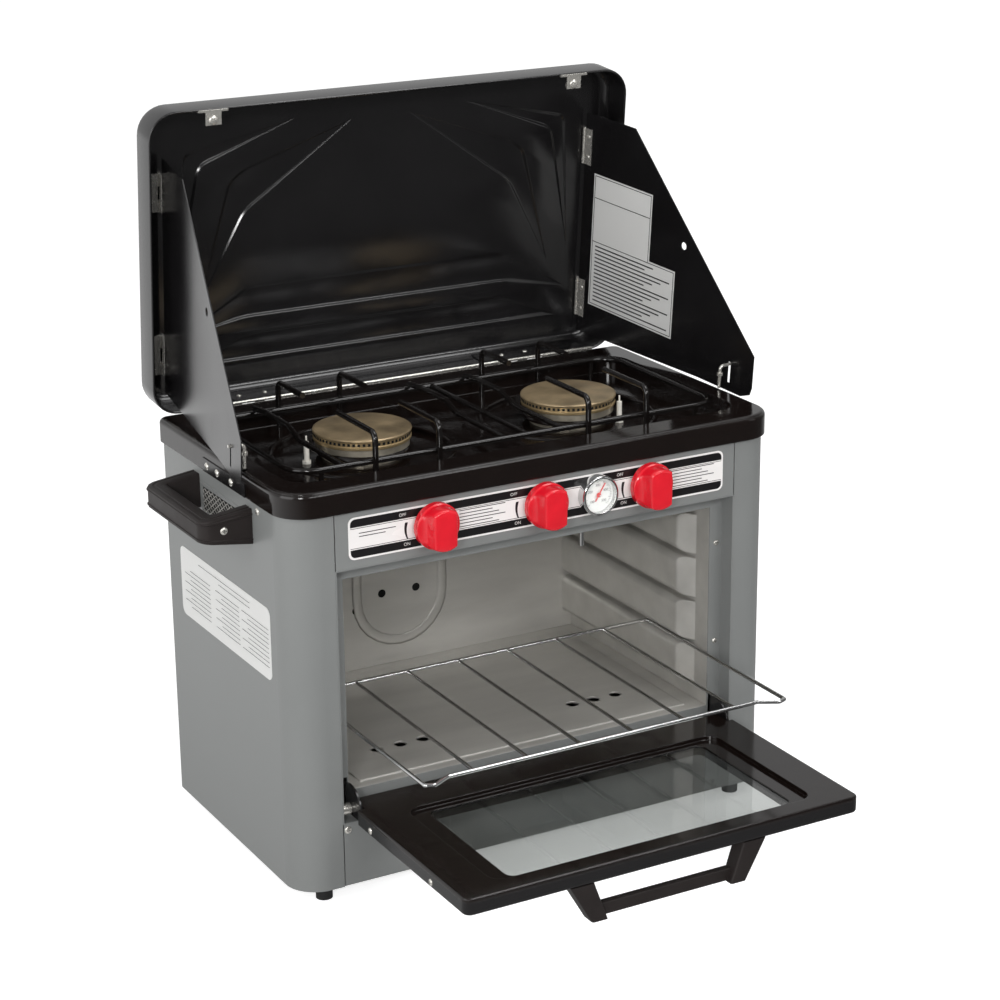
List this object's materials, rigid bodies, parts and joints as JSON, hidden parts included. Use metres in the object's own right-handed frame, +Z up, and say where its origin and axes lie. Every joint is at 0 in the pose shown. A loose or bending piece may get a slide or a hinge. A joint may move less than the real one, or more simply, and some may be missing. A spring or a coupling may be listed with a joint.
{
  "type": "folding camp oven",
  "caption": "Portable gas camp oven with a fold-down glass door, pull-out rack, two-burner hob with lift-off grate, and a hinged lid carrying folding windscreens.",
  "frame": {"origin": "on the standing plane, below the middle of the case", "axes": "+Z up, -Y towards the oven door, +X to the right seen from the door"},
  "size_m": [0.622, 0.5644, 0.7025],
  "materials": {
    "grey_paint": "fine textured powder coat, satin",
    "black_enamel": "gloss porcelain enamel",
    "black_paint": "semi-matte black paint",
    "door_paint": "dark satin paint",
    "aluminised": "aluminised sheet, lightly brushed",
    "chrome": "bright plate",
    "black_plastic": "moulded, fine texture",
    "red_knob": "gloss moulded",
    "overlay": "printed metallised film",
    "label": "blank sticker",
    "glass": "clear tempered pane",
    "gold_cap": "heat tinted pressed metal",
    "cast_body": "cast",
    "brass": "turned brass",
    "ceramic": "white glazed",
    "rubber": "moulded",
    "wire_black": "dark baked wire",
    "needle_red": "painted needle",
    "dial_white": "printed dial",
    "zinc": "zinc plated steel"
  },
  "bodies": {
    "case": {"back_panel": "grey_paint", "base_pan": "zinc", "burner_body_left": "cast_body", "burner_body_right": "cast_body", "burner_cap_left": "gold_cap", "burner_cap_right": "gold_cap", "case_screws": "zinc", "control_fascia": "grey_paint", "control_overlay": "overlay", "deck": "black_enamel", "deck_hinge_leaves": "zinc", "door_frame": "grey_paint", "door_pivots": "brass", "feet": "rubber", "frame_rivets": "zinc", "gas_inlet": "brass", "gas_manifold": "zinc", "gas_valves": "brass", "igniters": "ceramic", "lower_front_panel": "grey_paint", "oven_burner": "zinc", "oven_floor": "aluminised", "oven_liner": "aluminised", "rating_label": "label", "screen_brackets": "black_paint", "side_handle_left": "black_plastic", "side_handle_right": "black_plastic", "side_panel_left": "grey_paint", "side_panel_right": "grey_paint", "side_vents": "zinc", "thermometer_case": "chrome", "thermometer_dial": "dial_white", "thermometer_glass": "glass"},
    "door": {"door_shell": "door_paint", "door_inner_frame": "black_enamel", "door_glass": "glass", "door_handle": "black_plastic", "door_hinge_arms": "zinc", "door_screws": "zinc"},
    "rack": {"oven_rack": "chrome"},
    "grate": {"grate": "wire_black"},
    "lid": {"lid_shell": "grey_paint", "lid_hinge_leaves": "zinc", "lid_catches": "zinc", "lid_screen_leaves": "zinc"},
    "windscreen_left": {"windscreen_left": "black_paint", "screen_leaves_left": "zinc"},
    "windscreen_right": {"windscreen_right": "black_paint", "screen_leaves_right": "zinc", "screen_label": "label"},
    "bolt_left": {"screen_bolt_left": "chrome"},
    "bolt_right": {"screen_bolt_right": "chrome"},
    "needle": {"thermometer_needle": "needle_red"},
    "push_left": {"valve_stem_left": "brass"},
    "knob_left": {"knob_left": "red_knob"},
    "push_oven": {"valve_stem_oven": "brass"},
    "knob_oven": {"knob_oven": "red_knob"},
    "push_right": {"valve_stem_right": "brass"},
    "knob_right": {"knob_right": "red_knob"}
  },
  "joints": [
    {"name": "door_hinge", "type": "hinge", "parent": "case", "child": "door", "pos_m": [0, -0.1377, 0.089], "axis": [-1, 0, 0], "range_deg": [0, 90]},
    {"name": "rack_slide", "type": "slide", "parent": "case", "child": "rack", "axis": [0, 1, 0], "range_m": [0, 0.1596]},
    {"name": "grate_lift", "type": "slide", "parent": "case", "child": "grate", "axis": [0, 0, 1], "range_m": [0, 0.06]},
    {"name": "lid_hinge", "type": "hinge", "parent": "case", "child": "lid", "pos_m": [0, 0.1532, 0.3965], "axis": [-1, 0, 0], "range_deg": [0, 95]},
    {"name": "windscreen_left_hinge", "type": "hinge", "parent": "lid", "child": "windscreen_left", "pos_m": [-0.2356, 0.18216, 0.50222], "axis": [0, -0.0929, 0.9957], "range_deg": [0, 95.05]},
    {"name": "bolt_left_drop", "type": "slide", "parent": "windscreen_left", "child": "bolt_left", "axis": [0, 0.0929, -0.9957], "range_m": [0, 0.013]},
    {"name": "windscreen_right_hinge", "type": "hinge", "parent": "lid", "child": "windscreen_right", "pos_m": [0.2356, 0.18216, 0.50222], "axis": [0, 0.0929, -0.9957], "range_deg": [0, 85.55]},
    {"name": "bolt_right_drop", "type": "slide", "parent": "windscreen_right", "child": "bolt_right", "axis": [0, 0.0929, -0.9957], "range_m": [0, 0.013]},
    {"name": "knob_left_push", "type": "slide", "parent": "case", "child": "push_left", "axis": [0, 1, 0], "range_m": [0, 0.003], "stiffness_N_per_m": 900, "springref_m": -0.003},
    {"name": "knob_left_turn", "type": "hinge", "parent": "push_left", "child": "knob_left", "pos_m": [-0.115, -0.16, 0.354], "axis": [0, 1, 0], "range_deg": [0, 240]},
    {"name": "knob_oven_push", "type": "slide", "parent": "case", "child": "push_oven", "axis": [0, 1, 0], "range_m": [0, 0.003], "stiffness_N_per_m": 900, "springref_m": -0.003},
    {"name": "knob_oven_turn", "type": "hinge", "parent": "push_oven", "child": "knob_oven", "pos_m": [0, -0.16, 0.354], "axis": [0, 1, 0], "range_deg": [0, 240]},
    {"name": "knob_right_push", "type": "slide", "parent": "case", "child": "push_right", "axis": [0, 1, 0], "range_m": [0, 0.003], "stiffness_N_per_m": 900, "springref_m": -0.003},
    {"name": "knob_right_turn", "type": "hinge", "parent": "push_right", "child": "knob_right", "pos_m": [0.115, -0.16, 0.354], "axis": [0, 1, 0], "range_deg": [0, 240]},
    {"name": "thermometer_hinge", "type": "hinge", "parent": "case", "child": "needle", "pos_m": [0.0575, -0.152, 0.3535], "axis": [0, 1, 0], "range_deg": [-170, 75]}
  ],
  "couplings": [
    {"joint": "rack_slide", "follows": "door_hinge", "m_per_rad": 0.10148},
    {"joint": "windscreen_left_hinge", "follows": "lid_hinge", "ratio": 1},
    {"joint": "windscreen_right_hinge", "follows": "lid_hinge", "ratio": 0.9}
  ]
}
